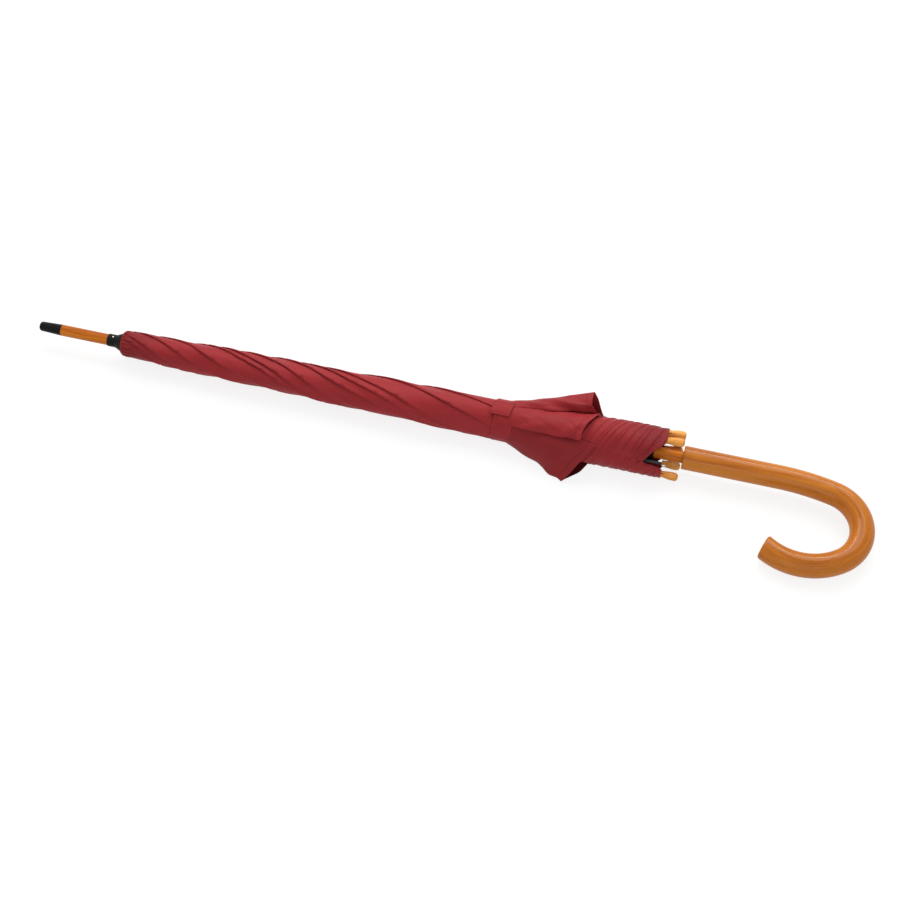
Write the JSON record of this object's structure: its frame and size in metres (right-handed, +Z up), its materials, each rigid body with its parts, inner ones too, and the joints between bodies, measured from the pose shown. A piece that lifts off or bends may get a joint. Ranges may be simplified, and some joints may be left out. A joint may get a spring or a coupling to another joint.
{
  "type": "stick umbrella",
  "caption": "Full-length stick umbrella, rolled and tied, with a wooden shaft and crook handle, steel ribs with wooden tips and a cloth canopy that opens.",
  "frame": {"origin": "on the surface that the closed umbrella lies on, below the middle of its bounding box", "axes": "+X along the shaft from the ferrule to the crook handle, -Y towards the side that the crook opens to, +Z up"},
  "size_m": [0.8851, 0.1277, 0.0462],
  "materials": {
    "shaft_wood": "orange-brown varnished hardwood rod",
    "handle_wood": "glossy clear-lacquered bent wood with fine grain",
    "tip_wood": "pale turned wood, satin varnish",
    "cap_plastic": "black moulded plastic, slightly glossy",
    "runner_plastic": "black moulded plastic",
    "notch_plastic": "black moulded plastic",
    "ferrule_metal": "black enamelled metal",
    "canopy_cloth": "burgundy woven polyester with a faint sheen",
    "strap_cloth": "burgundy woven polyester, doubled and stitched",
    "rib_steel": "black japanned steel channel",
    "rivet_steel": "nickel-plated steel",
    "wire_steel": "drawn steel wire",
    "pin_steel": "bright steel pin",
    "catch_steel": "spring steel strip"
  },
  "bodies": {
    "root": {"shaft": "shaft_wood", "ferrule": "ferrule_metal", "handle": "handle_wood", "top_cap": "cap_plastic", "top_cap_pin": "pin_steel", "crown_rosette": "canopy_cloth", "notch": "notch_plastic", "notch_wire": "wire_steel", "upper_catch_pin": "pin_steel", "lower_catch_pin": "pin_steel"},
    "rib_1": {"rib_1": "rib_steel", "rib_tip_1": "tip_wood", "rivet_1": "rivet_steel"},
    "stretcher_1": {"stretcher_1": "rib_steel"},
    "rib_2": {"rib_2": "rib_steel", "rib_tip_2": "tip_wood", "rivet_2": "rivet_steel"},
    "stretcher_2": {"stretcher_2": "rib_steel"},
    "rib_3": {"rib_3": "rib_steel", "rib_tip_3": "tip_wood", "rivet_3": "rivet_steel"},
    "stretcher_3": {"stretcher_3": "rib_steel"},
    "rib_4": {"rib_4": "rib_steel", "rib_tip_4": "tip_wood", "rivet_4": "rivet_steel"},
    "stretcher_4": {"stretcher_4": "rib_steel"},
    "rib_5": {"rib_5": "rib_steel", "rib_tip_5": "tip_wood", "rivet_5": "rivet_steel"},
    "stretcher_5": {"stretcher_5": "rib_steel"},
    "rib_6": {"rib_6": "rib_steel", "rib_tip_6": "tip_wood", "rivet_6": "rivet_steel"},
    "stretcher_6": {"stretcher_6": "rib_steel"},
    "rib_7": {"rib_7": "rib_steel", "rib_tip_7": "tip_wood", "rivet_7": "rivet_steel"},
    "stretcher_7": {"stretcher_7": "rib_steel"},
    "rib_8": {"rib_8": "rib_steel", "rib_tip_8": "tip_wood", "rivet_8": "rivet_steel"},
    "stretcher_8": {"stretcher_8": "rib_steel"},
    "runner": {"runner": "runner_plastic", "runner_wire": "wire_steel"},
    "gore_1": {"canopy_gore_1": "canopy_cloth", "strap_hook_patch": "strap_cloth"},
    "gore_2": {"canopy_gore_2": "canopy_cloth"},
    "gore_3": {"canopy_gore_3": "canopy_cloth"},
    "gore_4": {"canopy_gore_4": "canopy_cloth"},
    "gore_5": {"canopy_gore_5": "canopy_cloth"},
    "gore_6": {"canopy_gore_6": "canopy_cloth"},
    "gore_7": {"canopy_gore_7": "canopy_cloth"},
    "gore_8": {"canopy_gore_8": "canopy_cloth"},
    "strap": {"strap_tab": "strap_cloth"},
    "upper_catch": {"upper_catch": "catch_steel"},
    "lower_catch": {"lower_catch": "catch_steel"}
  },
  "joints": [
    {"name": "canopy_opening", "type": "hinge", "parent": "root", "child": "rib_1", "pos_m": [-0.3451, 0.04032, 0.02868], "axis": [0, -0.9848, 0.1736], "range_deg": [0, 63]},
    {"name": "stretcher_1_hinge", "type": "hinge", "parent": "rib_1", "child": "stretcher_1", "pos_m": [-0.08213, 0.04104, 0.03274], "axis": [0, -0.9848, 0.1736], "range_deg": [-126.1, 0]},
    {"name": "rib_2_hinge", "type": "hinge", "parent": "root", "child": "rib_2", "pos_m": [-0.3451, 0.0342, 0.02732], "axis": [0, -0.8192, -0.5736], "range_deg": [0, 63]},
    {"name": "stretcher_2_hinge", "type": "hinge", "parent": "rib_2", "child": "stretcher_2", "pos_m": [-0.08213, 0.03183, 0.0307], "axis": [0, -0.8192, -0.5736], "range_deg": [-126.1, 0]},
    {"name": "rib_3_hinge", "type": "hinge", "parent": "root", "child": "rib_3", "pos_m": [-0.3451, 0.03082, 0.02202], "axis": [0, -0.1736, -0.9848], "range_deg": [0, 63]},
    {"name": "stretcher_3_hinge", "type": "hinge", "parent": "rib_3", "child": "stretcher_3", "pos_m": [-0.08213, 0.02676, 0.02274], "axis": [0, -0.1736, -0.9848], "range_deg": [-126.1, 0]},
    {"name": "rib_4_hinge", "type": "hinge", "parent": "root", "child": "rib_4", "pos_m": [-0.3451, 0.03218, 0.0159], "axis": [0, 0.5736, -0.8192], "range_deg": [0, 63]},
    {"name": "stretcher_4_hinge", "type": "hinge", "parent": "rib_4", "child": "stretcher_4", "pos_m": [-0.08213, 0.0288, 0.01353], "axis": [0, 0.5736, -0.8192], "range_deg": [-126.1, 0]},
    {"name": "rib_5_hinge", "type": "hinge", "parent": "root", "child": "rib_5", "pos_m": [-0.3451, 0.03748, 0.01252], "axis": [0, 0.9848, -0.1736], "range_deg": [0, 63]},
    {"name": "stretcher_5_hinge", "type": "hinge", "parent": "rib_5", "child": "stretcher_5", "pos_m": [-0.08213, 0.03676, 0.00846], "axis": [0, 0.9848, -0.1736], "range_deg": [-126.1, 0]},
    {"name": "rib_6_hinge", "type": "hinge", "parent": "root", "child": "rib_6", "pos_m": [-0.3451, 0.0436, 0.01388], "axis": [0, 0.8192, 0.5736], "range_deg": [0, 63]},
    {"name": "stretcher_6_hinge", "type": "hinge", "parent": "rib_6", "child": "stretcher_6", "pos_m": [-0.08213, 0.04597, 0.0105], "axis": [0, 0.8192, 0.5736], "range_deg": [-126.1, 0]},
    {"name": "rib_7_hinge", "type": "hinge", "parent": "root", "child": "rib_7", "pos_m": [-0.3451, 0.04698, 0.01918], "axis": [0, 0.1736, 0.9848], "range_deg": [0, 63]},
    {"name": "stretcher_7_hinge", "type": "hinge", "parent": "rib_7", "child": "stretcher_7", "pos_m": [-0.08213, 0.05104, 0.01846], "axis": [0, 0.1736, 0.9848], "range_deg": [-126.1, 0]},
    {"name": "rib_8_hinge", "type": "hinge", "parent": "root", "child": "rib_8", "pos_m": [-0.3451, 0.04562, 0.0253], "axis": [0, -0.5736, 0.8192], "range_deg": [0, 63]},
    {"name": "stretcher_8_hinge", "type": "hinge", "parent": "rib_8", "child": "stretcher_8", "pos_m": [-0.08213, 0.049, 0.02767], "axis": [0, -0.5736, 0.8192], "range_deg": [-126.1, 0]},
    {"name": "runner_travel", "type": "hinge", "parent": "stretcher_1", "child": "runner", "pos_m": [0.18084, 0.04032, 0.02868], "axis": [0, -0.9848, 0.1736], "range_deg": [0, 63.1]},
    {"name": "gore_1_unfold", "type": "hinge", "parent": "rib_1", "child": "gore_1", "pos_m": [-0.3451, 0.03698, 0.02927], "axis": [-0.4927, 0.1883, -0.8496], "range_deg": [0, 46.19]},
    {"name": "gore_2_unfold", "type": "hinge", "parent": "rib_2", "child": "gore_2", "pos_m": [-0.3451, 0.03141, 0.02537], "axis": [-0.4927, 0.7339, -0.4676], "range_deg": [0, 46.19]},
    {"name": "gore_3_unfold", "type": "hinge", "parent": "rib_3", "child": "gore_3", "pos_m": [-0.3451, 0.03023, 0.01868], "axis": [-0.4927, 0.8496, 0.1883], "range_deg": [0, 46.19]},
    {"name": "gore_4_unfold", "type": "hinge", "parent": "rib_4", "child": "gore_4", "pos_m": [-0.3451, 0.03413, 0.01311], "axis": [-0.4927, 0.4676, 0.7339], "range_deg": [0, 46.19]},
    {"name": "gore_5_unfold", "type": "hinge", "parent": "rib_5", "child": "gore_5", "pos_m": [-0.3451, 0.04082, 0.01193], "axis": [-0.4927, -0.1883, 0.8496], "range_deg": [0, 46.19]},
    {"name": "gore_6_unfold", "type": "hinge", "parent": "rib_6", "child": "gore_6", "pos_m": [-0.3451, 0.04639, 0.01583], "axis": [-0.4927, -0.7339, 0.4676], "range_deg": [0, 46.19]},
    {"name": "gore_7_unfold", "type": "hinge", "parent": "rib_7", "child": "gore_7", "pos_m": [-0.3451, 0.04757, 0.02252], "axis": [-0.4927, -0.8496, -0.1883], "range_deg": [0, 46.19]},
    {"name": "gore_8_unfold", "type": "hinge", "parent": "rib_8", "child": "gore_8", "pos_m": [-0.3451, 0.04367, 0.02809], "axis": [-0.4927, -0.4676, -0.7339], "range_deg": [0, 46.19]},
    {"name": "strap_peel", "type": "hinge", "parent": "gore_1", "child": "strap", "pos_m": [0.0613, 0.04652, 0.04046], "axis": [-1, 0, 0], "range_deg": [0, 105]},
    {"name": "upper_catch_press", "type": "hinge", "parent": "root", "child": "upper_catch", "pos_m": [-0.0447, 0.03983, 0.0164], "axis": [0, 0.9763, 0.2164], "range_deg": [0, 4.5], "stiffness_Nm_per_rad": 0.3},
    {"name": "lower_catch_press", "type": "hinge", "parent": "root", "child": "lower_catch", "pos_m": [0.2173, 0.03983, 0.0164], "axis": [0, 0.9763, 0.2164], "range_deg": [0, 4.5], "stiffness_Nm_per_rad": 0.3}
  ],
  "couplings": [
    {"joint": "stretcher_1_hinge", "follows": "canopy_opening", "ratio": -2},
    {"joint": "rib_2_hinge", "follows": "canopy_opening", "ratio": 1},
    {"joint": "stretcher_2_hinge", "follows": "canopy_opening", "ratio": -2},
    {"joint": "rib_3_hinge", "follows": "canopy_opening", "ratio": 1},
    {"joint": "stretcher_3_hinge", "follows": "canopy_opening", "ratio": -2},
    {"joint": "rib_4_hinge", "follows": "canopy_opening", "ratio": 1},
    {"joint": "stretcher_4_hinge", "follows": "canopy_opening", "ratio": -2},
    {"joint": "rib_5_hinge", "follows": "canopy_opening", "ratio": 1},
    {"joint": "stretcher_5_hinge", "follows": "canopy_opening", "ratio": -2},
    {"joint": "rib_6_hinge", "follows": "canopy_opening", "ratio": 1},
    {"joint": "stretcher_6_hinge", "follows": "canopy_opening", "ratio": -2},
    {"joint": "rib_7_hinge", "follows": "canopy_opening", "ratio": 1},
    {"joint": "stretcher_7_hinge", "follows": "canopy_opening", "ratio": -2},
    {"joint": "rib_8_hinge", "follows": "canopy_opening", "ratio": 1},
    {"joint": "stretcher_8_hinge", "follows": "canopy_opening", "ratio": -2},
    {"joint": "runner_travel", "follows": "canopy_opening", "ratio": 1},
    {"joint": "gore_1_unfold", "follows": "canopy_opening", "ratio": 0.73233},
    {"joint": "gore_2_unfold", "follows": "canopy_opening", "ratio": 0.73233},
    {"joint": "gore_3_unfold", "follows": "canopy_opening", "ratio": 0.73233},
    {"joint": "gore_4_unfold", "follows": "canopy_opening", "ratio": 0.73233},
    {"joint": "gore_5_unfold", "follows": "canopy_opening", "ratio": 0.73233},
    {"joint": "gore_6_unfold", "follows": "canopy_opening", "ratio": 0.73233},
    {"joint": "gore_7_unfold", "follows": "canopy_opening", "ratio": 0.73233},
    {"joint": "gore_8_unfold", "follows": "canopy_opening", "ratio": 0.73233}
  ]
}
